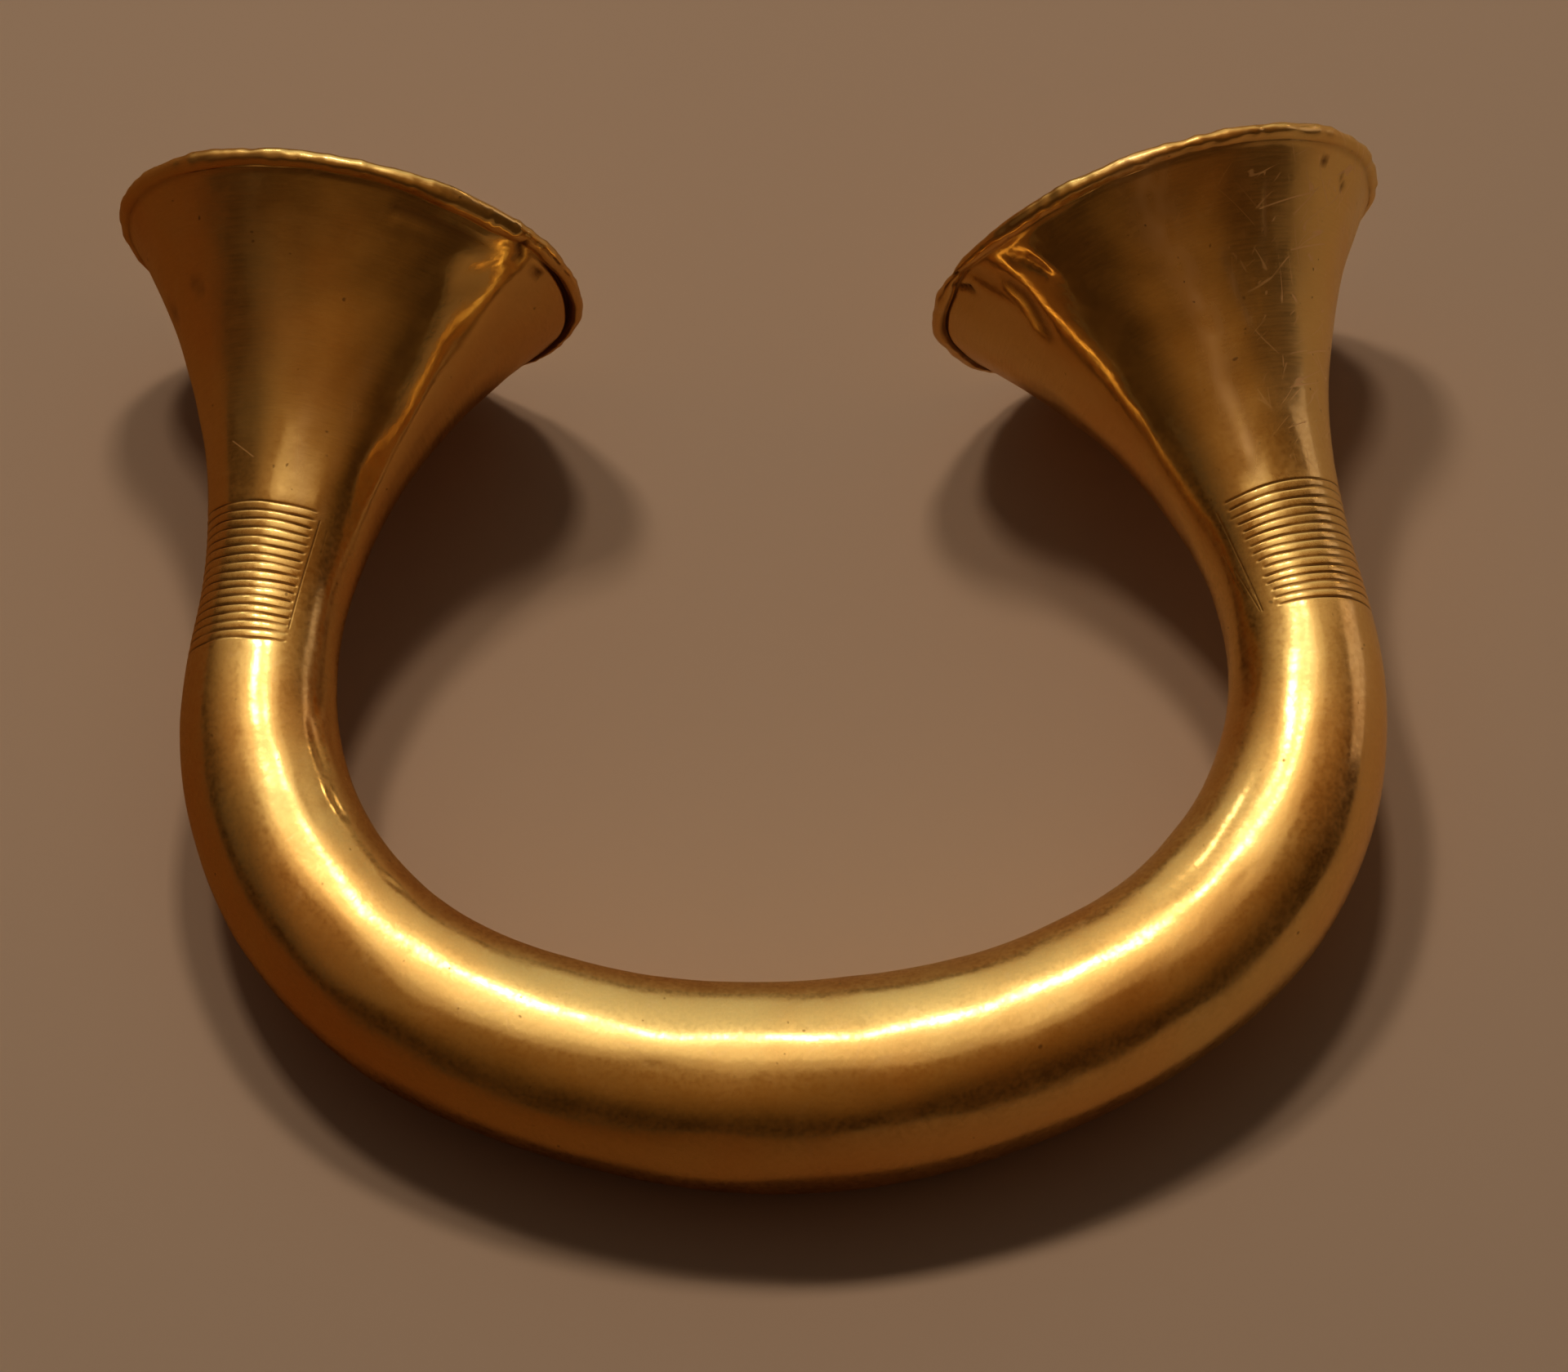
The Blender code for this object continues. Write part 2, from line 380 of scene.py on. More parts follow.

# The lips: the turned edge is a roll, hammered down in small facets all round. Its foot stands off
# the cone in places, so a gap runs round under it, darkened with painted shade.

# Waves of the roll's thickness, as seed, height and length. A facet is twice as long along the bow
LIP_WAVE = (21, 0.00005, 0.007)
LIP_FACET = (22, 0.00005, 0.0017)
LIP_BEAD = (23, 0.000014, 0.0006)
ROLL_FADE = 0.0003

# How far the foot has crept down the cone, and how deep and wide the gap is, by degrees around
FOOT_CREEP = {
    "left": ((24, 0.0), (34, -0.00010), (48, 0.00045), (62, 0.00035), (78, 0.0001), (95, 0.0)),
    "right": ((-40, 0.0), (-19, 0.0007), (-3, 0.0), (15, -0.0001), (26, -0.0005), (40, 0.0)),
}
CREEP_FADE = 0.0018

# Where the depth is below nothing, the foot was burnished down and runs softly into the cone
GAP_DEPTH = {
    "left": (
        (-62, 0.00004), (-35, 0.00030), (-5, 0.00042), (18, 0.00030), (30, 0.00003), (94, -0.00007),
    ),
    "right": ((-60, -0.00004), (-20, 0.00014), (12, 0.00014), (30, 0.00004), (48, -0.00008)),
}
GAP_WIDTH = {
    "left": (
        (-62, 0.0003), (-35, 0.00055), (-5, 0.00085), (18, 0.0005), (30, 0.0005), (94, 0.0011),
    ),
    "right": ((-40, 0.00040), (0, 0.00034), (30, 0.00035), (48, 0.0011)),
}
# Painted shade under the lip: full where the gap is this deep, and this share of it all along the foot
BLACK_GAP_DEPTH = 0.00014
FOOT_SHADE = 0.18


def by_degrees(skin, table):
    """The value at each corner, between those that the table gives for some degrees around."""
    degrees, values = zip(*table)
    return np.interp(skin.around, degrees, values)


def work_lip(skin, side):
    """Hammers the roll, lets its foot creep down the cone and opens the gap under it."""
    sign = -1 if side == "left" else 1
    slope = math.atan(outer_slope(sign * (ARM_LENGTH[side] - LIP_RADIUS)))
    foot = -LIP_RADIUS * (lip_foot_angle() + slope)
    past_foot = skin.from_rim - foot
    roll = smooth(past_foot / ROLL_FADE) * smooth((LIP_RADIUS - skin.from_rim) / ROLL_FADE)
    seed, height, length = LIP_FACET
    hammered = height * (0.5 - 2 * np.abs(skin.noise(seed, 2 * length, length)))
    for seed, height, length in (LIP_WAVE, LIP_BEAD):
        hammered += height * skin.noise(seed, length, length)
    gap = smooth(1 - 2 * np.abs(past_foot) / by_degrees(skin, GAP_WIDTH[side]))
    down = np.array((-sign * math.cos(slope), 0, 0)) - math.sin(slope) * skin.outward
    creep = by_degrees(skin, FOOT_CREEP[side]) * smooth(1 - np.abs(past_foot) / CREEP_FADE)
    arm = skin.arm[side]
    depth = by_degrees(skin, GAP_DEPTH[side])
    skin.raised += arm * (roll * hammered - gap * depth)
    skin.moved += (arm * skin.outside * creep)[:, None] * down
    # Painted shade in the gap under the lip, darker where the gap is deeper
    skin.painted_shade = np.maximum(skin.painted_shade, arm * gap * np.clip(depth / BLACK_GAP_DEPTH, FOOT_SHADE, 1))


work_lip(skin, "left")
work_lip(skin, "right")

# The left mouth is a little off its axis: its trumpet was beaten over more and more towards the
# outer side, from the neck on.
MOUTH_OFF_AXIS = 0.00028
off_axis = smooth((-skin.along - ARM_LENGTH["left"] + FLARE_LENGTH) / FLARE_LENGTH)
skin.moved[:, 1] -= MOUTH_OFF_AXIS * off_axis

# Dents, folds and wrinkles that wear has left in the sheet. Each is a path of places with their
# degrees around, its width, how far it stands out, and how much painted brown shade lies in it.
DENTS = (
    # Wrinkles along the inner side of the left bend, where the tube was pressed together
    (((-0.0560, 22), (-0.0547, 25), (-0.0510, 31.5)), 0.0016, -0.00005, 0.0),
    (((-0.0540, 35), (-0.0505, 37), (-0.0480, 36)), 0.0018, 0.00005, 0.0),
    (((-0.0530, 50), (-0.0486, 48.4)), 0.0014, -0.00005, 0.0),
    (((-0.0500, 57), (-0.0455, 59)), 0.0018, 0.00004, 0.0),
    (((-0.0475, 70.5), (-0.0438, 69.7)), 0.0014, -0.00003, 0.0),
    (((-0.0461, 50.7), (-0.0435, 49.6)), 0.0012, -0.00004, 0.0),
    (((-0.0389, 61), (-0.0379, 60.4)), 0.0014, -0.00003, 0.0),
    (((-0.0366, 54.6), (-0.0349, 52.6)), 0.0012, -0.00003, 0.0),
    # Fold lines and dents of the left trumpet
    (((-0.0912, 75), (-0.0911, 60), (-0.0913, 45), (-0.0916, 35)), 0.0006, -0.00010, 0.5),
    (((-0.0905, 73), (-0.0903, 58), (-0.0904, 44)), 0.0008, 0.00006, 0.0),
    (((-0.0924, 38), (-0.0914, 33), (-0.0918, 25)), 0.0007, -0.00014, 0.8),
    (((-0.0855, 172), (-0.0852, 168)), 0.0022, -0.00012, 0.3),
    (((-0.0859, 147), (-0.0856, 143)), 0.0016, -0.00009, 0.3),
    # The crushed place at the inner side of the right mouth
    (((0.0879, 33), (0.0868, 34), (0.0858, 32.6), (0.0842, 28.5)), 0.0016, -0.00012, 0.5),
    (((0.0875, 27), (0.0862, 27.5), (0.0845, 24)), 0.0015, 0.00006, 0.0),
    (((0.0893, 28), (0.0886, 29)), 0.0022, -0.00012, 0.15),
    (((0.0890, 40), (0.0885, 42.5), (0.0874, 45.5)), 0.0009, -0.00010, 0.4),
    (((0.0885, 47), (0.0868, 49)), 0.0014, 0.00006, 0.0),
    (((0.0905, 24), (0.0900, 26)), 0.0006, -0.00022, 0.9),
    (((0.0897, 20.5), (0.0892, 23)), 0.0006, -0.00022, 0.9),
    # A soft ridge down the middle of the right cone, and the folds beside it
    (((0.0880, 82), (0.0840, 84), (0.0790, 87), (0.0740, 86), (0.0700, 85)), 0.0034, 0.00006, 0.0),
    (((0.0830, 102), (0.0812, 105), (0.0788, 108.5)), 0.0008, -0.00007, 0.1),
    (((0.0832, 106), (0.0814, 109), (0.0794, 111.5)), 0.0008, -0.00006, 0.1),
    (((0.0868, 118.5), (0.0822, 117.3)), 0.0008, -0.00007, 0.1),
    (((0.0890, 140), (0.0887, 142)), 0.0008, -0.00008, 0.7),
    (((0.0882, 152), (0.0879, 154)), 0.0007, -0.00006, 0.7),
    # Dings of the bow
    (((-0.0110, 103), (-0.0107, 103)), 0.0012, -0.00003, 0.1),
    (((0.0398, 107), (0.0397, 107)), 0.0011, -0.00003, 0.1),
    (((0.0347, 96), (0.0346, 96)), 0.0010, -0.00003, 0.1),
)
for path, width, height, painted_shade in DENTS:
    near = smooth(skin.nearness(path, width))
    skin.raised += height * near
    # Painted shade: the dents and folds are coloured darker brown, where shade falls in them
    skin.painted_shade = np.maximum(skin.painted_shade, painted_shade * near)

# Where the gold is rubbed rougher and coloured paler as a painted sheen: the ridge of the right cone,
# the fold beside it, and a faint streak of the left cone. Each is a path, its width, and how strongly
# it is rubbed.
RUB_AND_SHEEN = (
    (
        ((0.0895, 83), (0.0860, 82.5), (0.0830, 85), (0.0790, 88), (0.0740, 86), (0.0690, 86)),
        0.0044,
        0.55,
    ),
    (((0.0835, 101), (0.0812, 103), (0.0785, 107)), 0.0012, 0.45),
    (((0.0872, 119), (0.0850, 118), (0.0822, 117.5)), 0.0010, 0.35),
    (((-0.0820, 64), (-0.0760, 65), (-0.0700, 64)), 0.0022, 0.22),
    (((-0.0790, 86), (-0.0740, 85), (-0.0705, 86)), 0.0040, 0.22),
)
RUB_UNEVENNESS = 0.5
RUB_SEED = 31
RUB_WAVE = (0.0030, 0.0008)
uneven = 1 + RUB_UNEVENNESS * skin.noise(RUB_SEED, *RUB_WAVE)
for path, width, strength in RUB_AND_SHEEN:
    skin.rub_and_sheen = np.maximum(skin.rub_and_sheen, strength * smooth(skin.nearness(path, width)) * uneven)

# The bend: the straight tube was bent round into the bow. On either side of the middle come three
# arcs, shallow at the base, tight at the shoulder and slight at the neck, then a straight trumpet.
BASE_LENGTH = 0.0265
BASE_TURN = math.radians(30.5)
SHOULDER_LENGTH = 0.0325
SHOULDER_TURN = math.radians(69.5)
NECK_LENGTH = 0.010
NECK_TURN = {"left": math.radians(5.0), "right": math.radians(6.0)}
ARC_EASE = 0.005
CENTRELINE_STEP = 0.00025


def centreline():
    """Distances along the bow, right of the middle positive, with the heading and point at each."""
    ends = np.cumsum([BASE_LENGTH, SHOULDER_LENGTH, NECK_LENGTH])
    turns = {
        side: np.cumsum([BASE_TURN, SHOULDER_TURN, NECK_TURN[side]]) for side in NECK_TURN
    }
    places = np.concatenate([-ends[::-1], [0], ends])
    headings = np.concatenate([-turns["left"][::-1], [0], turns["right"]])
    steps_left = math.ceil(ARM_LENGTH["left"] / CENTRELINE_STEP)
    steps_right = math.ceil(ARM_LENGTH["right"] / CENTRELINE_STEP)
    distances = np.arange(-steps_left, steps_right + 1) * CENTRELINE_STEP
    heading = eased(places, headings, distances, ARC_EASE)
    between = (heading[1:] + heading[:-1]) / 2
    x = np.concatenate([[0], np.cumsum(np.cos(between))]) * CENTRELINE_STEP
    y = np.concatenate([[0], np.cumsum(np.sin(between))]) * CENTRELINE_STEP
    return distances, heading, x - x[steps_left], y - y[steps_left]


def bent(tube):
    """Places on the straight tube, carried onto the bow."""
    along, inward, upward = tube.T
    distances, headings, xs, ys = centreline()
    heading = np.interp(along, distances, headings)
    x = np.interp(along, distances, xs) - np.sin(heading) * inward
    y = np.interp(along, distances, ys) + np.cos(heading) * inward
    return np.stack([x, y, upward], 1)


# The bracelet lies loose on its side. It rests on the bow and on both lips, which are worn a little
# flat there.
MOUTHS_BEYOND = 0.040
FLAT_DEPTH = 0.0002
SETTLE_ROUNDS = 8


def settled(corners):
    """Turned until the bow and both rims touch one level plane, and put FLAT_DEPTH under it."""
    for _ in range(SETTLE_ROUNDS):
        at_mouth = corners[:, 1] > MOUTHS_BEYOND
        feet = (~at_mouth, at_mouth & (corners[:, 0] < 0), at_mouth & (corners[:, 0] > 0))
        bow, left, right = (Vector(min(corners[foot], key=lambda corner: corner[2])) for foot in feet)
        up = (right - bow).cross(left - bow).normalized()
        turn = up.rotation_difference(Vector((0, 0, 1))).to_matrix()
        corners = corners @ np.array(turn).T
    low, high = corners.min(axis=0), corners.max(axis=0)
    middle = (low + high) / 2
    return corners - (middle[0], middle[1], low[2] + FLAT_DEPTH)


def cut_flats(bm):
    """Takes off what is under the floor, which leaves a small flat at each of the three places."""
    everything = bm.verts[:] + bm.edges[:] + bm.faces[:]
    bmesh.ops.bisect_plane(
        bm, geom=everything, plane_co=(0, 0, 0), plane_no=(0, 0, 1), clear_inner=True
    )
    bmesh.ops.remove_doubles(bm, verts=bm.verts[:], dist=MERGE_DISTANCE)
    open_edges = [edge for edge in bm.edges if edge.is_boundary]
    bmesh.ops.holes_fill(bm, edges=open_edges, sides=0)
    bmesh.ops.recalc_face_normals(bm, faces=bm.faces[:])


# The painted shade goes onto the corners, for the gold's colour
painted_shade_layer = body.verts.layers.float["painted_shade"]
rub_and_sheen_layer = body.verts.layers.float["rub_and_sheen"]
worked = settled(bent(skin.straight + skin.moved + skin.normal * skin.raised[:, None]))
skin.painted_shade, skin.rub_and_sheen = np.clip((skin.painted_shade, skin.rub_and_sheen), 0, 1)
for vert, place, painted_shade, rub_and_sheen in zip(body.verts, worked, skin.painted_shade, skin.rub_and_sheen):
    vert.co = place
    vert[painted_shade_layer] = painted_shade
    vert[rub_and_sheen_layer] = rub_and_sheen
cut_flats(body)
mesh = bpy.data.meshes.new("gold_bracelet")
body.to_mesh(mesh)
body.free()
mesh.shade_smooth()
bracelet = bpy.data.objects.new("gold_bracelet", mesh)
bpy.context.scene.collection.objects.link(bracelet)
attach(bracelet, "root")
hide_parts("bracelet")

# The gold: old, burnished and handled soft. Fine scratches and brush marks lie over it, painted
# brown shade lies in the cuts and folds and under the lips, and the hollows are duller than the
# outside.
GOLD = (0.94, 0.71, 0.31, 1)
COPPERY_GOLD = (0.93, 0.63, 0.25, 1)
PAINTED_SHEEN_GOLD = (1.0, 0.77, 0.46, 1)
HOLLOW_GOLD = (0.78, 0.53, 0.23, 1)
PAINTED_SHADE_BROWN = (0.16, 0.065, 0.016, 1)


def put(tree, socket, value):
    """Links the value where it is another node's output, and sets it where it is plain."""
    if isinstance(value, bpy.types.NodeSocket):
        tree.links.new(value, socket)
    else:
        socket.default_value = value


def node(tree, kind, values, **settings):
    """A new shader node, with its settings made and its inputs filled."""
    made = tree.nodes.new("ShaderNode" + kind)
    for name, value in settings.items():
        setattr(made, name, value)
    for name, value in values.items():
        put(tree, made.inputs[name], value)
    return made


def maths(tree, operation, *values):
    made = node(tree, "Math", {}, operation=operation)
    for socket, value in zip(made.inputs, values):
        put(tree, socket, value)
    return made.outputs["Value"]


def vector_maths(tree, operation, *values):
    made = node(tree, "VectorMath", {}, operation=operation)
    for socket, value in zip(made.inputs, values):
        put(tree, socket, value)
    return made.outputs["Value" if operation in ("DOT_PRODUCT", "LENGTH") else "Vector"]


def scaled(tree, vector, factor):
    made = node(tree, "VectorMath", {"Vector": vector, "Scale": factor}, operation="SCALE")
    return made.outputs["Vector"]


def mix(tree, kind, factor, first, second):
    """The first where the factor is 0, the second where it is 1. The kind is Float or Color."""
    made = node(tree, "Mix", {}, data_type="FLOAT" if kind == "Float" else "RGBA")
    sockets = {socket.identifier: socket for socket in (*made.inputs, *made.outputs)}
    put(tree, sockets["Factor_Float"], factor)
    put(tree, sockets["A_" + kind], first)
    put(tree, sockets["B_" + kind], second)
    return sockets["Result_" + kind]


def eased_range(tree, value, low, high, to_low=0.0, to_high=1.0):
    """Eased from one level at the low value to the other at the high one."""
    values = {"Value": value, "From Min": low, "From Max": high, "To Min": to_low, "To Max": to_high}
    return node(tree, "MapRange", values, interpolation_type="SMOOTHSTEP").outputs["Result"]


def waves(tree, vector, scale, detail=2.0):
    """Smooth random levels about 0.5, this many waves to each unit of the vector."""
    values = {"Vector": vector, "Scale": scale, "Detail": detail, "Roughness": 0.5}
    return node(tree, "TexNoise", values).outputs["Fac"]


def group(name, takes, gives):
    """A new node group with these inputs and outputs, and its two end nodes."""
    tree = bpy.data.node_groups.new(name, "ShaderNodeTree")
    for label, kind in takes.items():
        tree.interface.new_socket(label, in_out="INPUT", socket_type="NodeSocket" + kind)
    for label, kind in gives.items():
        tree.interface.new_socket(label, in_out="OUTPUT", socket_type="NodeSocket" + kind)
    start = tree.nodes.new("NodeGroupInput")
    end = tree.nodes.new("NodeGroupOutput")
    return tree, start.outputs, end.inputs


def use(tree, made_group, values):
    """Places a group in a tree, with its inputs filled, and gives its outputs."""
    placed = node(tree, "Group", {}, node_tree=made_group)
    for name, value in values.items():
        put(tree, placed.inputs[name], value)
    return placed.outputs


def place_on_skin():
    """Where a point is on the straight skin. Flat has the way along and the way around from the top.

    Inward is 1 at the inner side of the section, 0 on top and -1 at the outer side.
    """
    gives = {"Straight": "Vector", "Flat": "Vector", "Inward": "Float"}
    tree, _, gives = group("place_on_skin", {}, gives)
    straight = node(tree, "Attribute", {}, attribute_name="laid_straight").outputs["Vector"]
    parts = node(tree, "SeparateXYZ", {"Vector": straight}).outputs
    radius = vector_maths(tree, "LENGTH", vector_maths(tree, "MULTIPLY", straight, (0, 1, 1)))
    around = maths(tree, "MULTIPLY", maths(tree, "ARCTAN2", parts["Y"], parts["Z"]), radius)
    flat = node(tree, "CombineXYZ", {"X": parts["X"], "Y": around, "Z": 0.0}).outputs["Vector"]
    put(tree, gives["Straight"], straight)
    put(tree, gives["Flat"], flat)
    put(tree, gives["Inward"], maths(tree, "DIVIDE", parts["Y"], radius))
    return tree


def brushed():
    """Fine parallel lines. Waves are their length along and around, in metres."""
    takes = {"Straight": "Vector", "Wave Along": "Float", "Wave Around": "Float"}
    tree, given, gives = group("brushed", takes, {"Lines": "Float"})
    waves_xyz = {"X": given["Wave Along"], "Y": given["Wave Around"], "Z": given["Wave Around"]}
    stretch = node(tree, "CombineXYZ", waves_xyz).outputs["Vector"]
    vector = vector_maths(tree, "DIVIDE", given["Straight"], stretch)
    put(tree, gives["Lines"], waves(tree, vector, 1.0, detail=1.0))
    return tree


# How far from the noise's middle level a stray scratch runs out, and the waves that break it up
SCRATCH_THINNESS = 0.022
BREAKS = 1.7
BREAK_LEVELS = (0.54, 0.62)


def stray_scratches():
    """Thin scratches in one direction: the contour lines of stretched noise, broken into pieces."""
    takes = {"Flat": "Vector", "Direction": "Float", "Length": "Float"}
    takes |= {"Spacing": "Float", "Seed": "Float"}
    tree, given, gives = group("stray_scratches", takes, {"Scratches": "Float"})
    values = {"Vector": given["Flat"], "Angle": given["Direction"]}
    turned = node(tree, "VectorRotate", values, rotation_type="Z_AXIS")
    stretch = {"X": given["Length"], "Y": given["Spacing"], "Z": 1.0}
    stretched = node(tree, "CombineXYZ", stretch).outputs["Vector"]
    vector = vector_maths(tree, "DIVIDE", turned.outputs["Vector"], stretched)
    seeded = node(tree, "CombineXYZ", {"X": given["Seed"], "Y": given["Seed"], "Z": given["Seed"]})
    vector = vector_maths(tree, "ADD", vector, seeded.outputs["Vector"])
    level = maths(tree, "ABSOLUTE", maths(tree, "SUBTRACT", waves(tree, vector, 1.0, 0.0), 0.5))
    thin = eased_range(tree, level, 0.0, SCRATCH_THINNESS, 1.0, 0.0)
    broken = eased_range(tree, waves(tree, vector, BREAKS, 1.0), *BREAK_LEVELS)
    put(tree, gives["Scratches"], maths(tree, "MULTIPLY", thin, broken))
    return tree


def scored_line():
    """One scratch or scored line from Start to End, as places on the flat skin."""
    takes = {"Flat": "Vector", "Start": "Vector", "End": "Vector", "Width": "Float"}
    tree, given, gives = group("scored_line", takes, {"Line": "Float"})
    run = vector_maths(tree, "SUBTRACT", given["End"], given["Start"])
    away = vector_maths(tree, "SUBTRACT", given["Flat"], given["Start"])
    length = vector_maths(tree, "DOT_PRODUCT", run, run)
    share = maths(tree, "DIVIDE", vector_maths(tree, "DOT_PRODUCT", away, run), length)
    share = node(tree, "Clamp", {"Value": share}).outputs["Result"]
    gap = vector_maths(tree, "LENGTH", vector_maths(tree, "SUBTRACT", away, scaled(tree, run, share)))
    put(tree, gives["Line"], eased_range(tree, gap, 0.0, given["Width"], 1.0, 0.0))
    return tree


def flat_place(along, degrees):
    """A place on the flat skin."""
    return along, math.radians(90 - degrees) * outer_radius(along), 0.0


# The scored lines that mark off the ribs: start, end, half width, and share of the full depth
SCORED = (
    ((-0.0697, 63.0), (-0.0608, 69.4), 0.00012, 0.9),
    ((-0.0692, 55.6), (-0.0674, 55.2), 0.00009, 0.5),
    ((0.0670, 48.6), (0.0581, 58.4), 0.00012, 0.9),
    ((0.06605, 49.7), (0.0597, 54.7), 0.00010, 0.6),
    ((0.0639, 36.7), (0.0597, 46.7), 0.00010, 0.5),
    ((0.0623, 44.7), (0.0582, 56.3), 0.00011, 0.7),
)
SCORE_DEPTH = 0.000016

# Light scratches on the cones, as start and end
SCRATCHED = (
    ((-0.0748, 134.0), (-0.0735, 117.0)),
    ((0.0858, 116.0), (0.0868, 137.0)),
    ((0.0832, 130.0), (0.0840, 149.0)),
    ((0.0765, 140.0), (0.0773, 161.0)),
)
SCRATCH_HALF_WIDTH = 0.00007
SCRATCH_DEPTH = 0.0000035

# Where the look of the hollow takes over from that of the outside, inwards from the rim, and where
# that of the cones takes over from that of the bow, outwards from its middle
HOLLOW_LOOK = (0.0005, 0.0030)
CONE_LOOK = (0.066, 0.078)

# Brush lines round the cones, as their waves along and around, and mottles to a metre
BRUSH_ALONG = 0.00016
BRUSH_AROUND = 0.0030
MOTTLES = 2200.0

gold = bpy.data.materials.new("old_gold")
gold.use_nodes = True
tree = gold.node_tree
shader = tree.nodes["Principled BSDF"]
shader.inputs["Metallic"].default_value = 1.0

place = use(tree, place_on_skin(), {})
from_rim = node(tree, "Attribute", {}, attribute_name="from_rim").outputs["Fac"]
painted_shade = node(tree, "Attribute", {}, attribute_name="painted_shade").outputs["Fac"]
rub_and_sheen = node(tree, "Attribute", {}, attribute_name="rub_and_sheen").outputs["Fac"]
along = node(tree, "SeparateXYZ", {"Vector": place["Straight"]}).outputs["X"]
in_hollow = eased_range(tree, from_rim, *HOLLOW_LOOK)
on_cone = eased_range(tree, maths(tree, "ABSOLUTE", along), *CONE_LOOK)

values = {"Straight": place["Straight"], "Wave Along": BRUSH_ALONG, "Wave Around": BRUSH_AROUND}
round_lines = use(tree, brushed(), values)["Lines"]
mottled = waves(tree, place["Straight"], MOTTLES)

# Stray scratches, as direction in degrees, length and spacing. The outer side of the right cone,
# where the bracelet was handled most, has many, and the rest few
STRAY = ((8, 0.008, 0.0013), (72, 0.007, 0.0011), (-35, 0.007, 0.0016), (57, 0.006, 0.0010))
STRAY_SEEDS_APART = 3.7
FEW = 0.15
HANDLED_FROM = (0.066, 0.074)
OUTER_SIDE = (-0.10, -0.65)
on_right_cone = eased_range(tree, along, *HANDLED_FROM)
on_outer_side = eased_range(tree, place["Inward"], *OUTER_SIDE)
many = mix(tree, "Float", maths(tree, "MULTIPLY", on_right_cone, on_outer_side), FEW, 1.0)
many = mix(tree, "Float", in_hollow, many, 0.0)
scratch_group = stray_scratches()
scratches = 0.0
for seed, (direction, length, spacing) in enumerate(STRAY):
    values = {"Flat": place["Flat"], "Direction": math.radians(direction)}
    values |= {"Length": length, "Spacing": spacing, "Seed": seed * STRAY_SEEDS_APART}
    scratches = maths(tree, "MAXIMUM", scratches, use(tree, scratch_group, values)["Scratches"])
scratches = maths(tree, "MULTIPLY", scratches, many)

line_group = scored_line()


def line_on_skin(start, end, width):
    """One line of the gold, between two places on the bracelet."""
    values = {"Flat": place["Flat"], "Start": flat_place(*start), "End": flat_place(*end)}
    return use(tree, line_group, {**values, "Width": width})["Line"]


for start, end in SCRATCHED:
    line = line_on_skin(start, end, SCRATCH_HALF_WIDTH)
    scratches = maths(tree, "MAXIMUM", scratches, line)
scored = 0.0
for start, end, width, depth in SCORED:
    line = maths(tree, "MULTIPLY", line_on_skin(start, end, width), depth)
    scored = maths(tree, "MAXIMUM", scored, line)

# Coppery patches and dark specks: how many waves to a metre, how much finer detail is in them, and
# between which of their levels they come up
PATCHES = (70.0, 3.0)
PATCH_LEVELS = (0.40, 0.68)
SPECKS = (1600.0, 1.0)
SPECK_LEVELS = (0.77, 0.80)
SPECK_DIRT = 0.5
SCORED_DIRT = 0.5
patches = eased_range(tree, waves(tree, place["Straight"], *PATCHES), *PATCH_LEVELS)
specks = eased_range(tree, waves(tree, place["Straight"], *SPECKS), *SPECK_LEVELS)
colour = mix(tree, "Color", patches, GOLD, COPPERY_GOLD)
colour = mix(tree, "Color", in_hollow, colour, HOLLOW_GOLD)
# Painted sheen: the rubbed streaks and the scratches are coloured paler, as if catching the light
pale = maths(tree, "MAXIMUM", rub_and_sheen, scratches)
colour = mix(tree, "Color", pale, colour, PAINTED_SHEEN_GOLD)
# Painted shade of the cuts, gaps and folds, with the dark specks and the dirt of the scored lines,
# turns the colour brown
dirt_and_shade = maths(tree, "MAXIMUM", painted_shade, maths(tree, "MULTIPLY", specks, SPECK_DIRT))
dirt_and_shade = maths(tree, "MAXIMUM", dirt_and_shade, maths(tree, "MULTIPLY", scored, SCORED_DIRT))
colour = mix(tree, "Color", dirt_and_shade, colour, PAINTED_SHADE_BROWN)
put(tree, shader.inputs["Base Color"], colour)

# Polished and worn spots lie side by side, too fine to be told apart: a sharp gleam in a soft one.
# The bow is mottled, and the cones are brushed round. They are worn most on the outer side, while
# a strip of the inner flank is burnished.
POLISHED = 0.17
BURNISHED = 0.09
WORN = 0.40
RUBBED_ROUGHNESS = 0.45
SCRATCHED_ROUGHNESS = 0.62
HOLLOW_ROUGHNESS = 0.48
DIRTY_ROUGHNESS = 0.60

# Between which values of Inward the burnished strip comes up and goes again
FLANK_BEGINS = (0.45, 0.65)
FLANK_ENDS = (0.98, 0.88)

# The share of worn spots goes up and down with the waves, between their low and high levels. Each
# place then adds its own
WAVE_LEVELS = (0.3, 0.7)
WORN_PATCHES = 320.0
WORN_SHARE = (0.35, 0.65)
BOW_SHARE = (-0.2, 0.2)
BRUSH_SHARE = (-0.09, 0.09)
CONE_SHARE = 0.05
OUTER_SIDE_SHARE = 0.30
FLANK_SHARE = -0.05
on_flank = maths(tree, "MULTIPLY", on_cone, eased_range(tree, place["Inward"], *FLANK_BEGINS))
on_flank = maths(tree, "MULTIPLY", on_flank, eased_range(tree, place["Inward"], *FLANK_ENDS))
share = eased_range(tree, waves(tree, place["Straight"], WORN_PATCHES), *WAVE_LEVELS, *WORN_SHARE)
of_bow = eased_range(tree, mottled, *WAVE_LEVELS, *BOW_SHARE)
of_cone = eased_range(tree, round_lines, *WAVE_LEVELS, *BRUSH_SHARE)
by_side = mix(tree, "Float", on_outer_side, CONE_SHARE, OUTER_SIDE_SHARE)
of_cone = mix(tree, "Float", on_flank, maths(tree, "ADD", of_cone, by_side), FLANK_SHARE)
share = maths(tree, "ADD", share, mix(tree, "Float", on_cone, of_bow, of_cone))
share = maths(tree, "MAXIMUM", share, scratches)
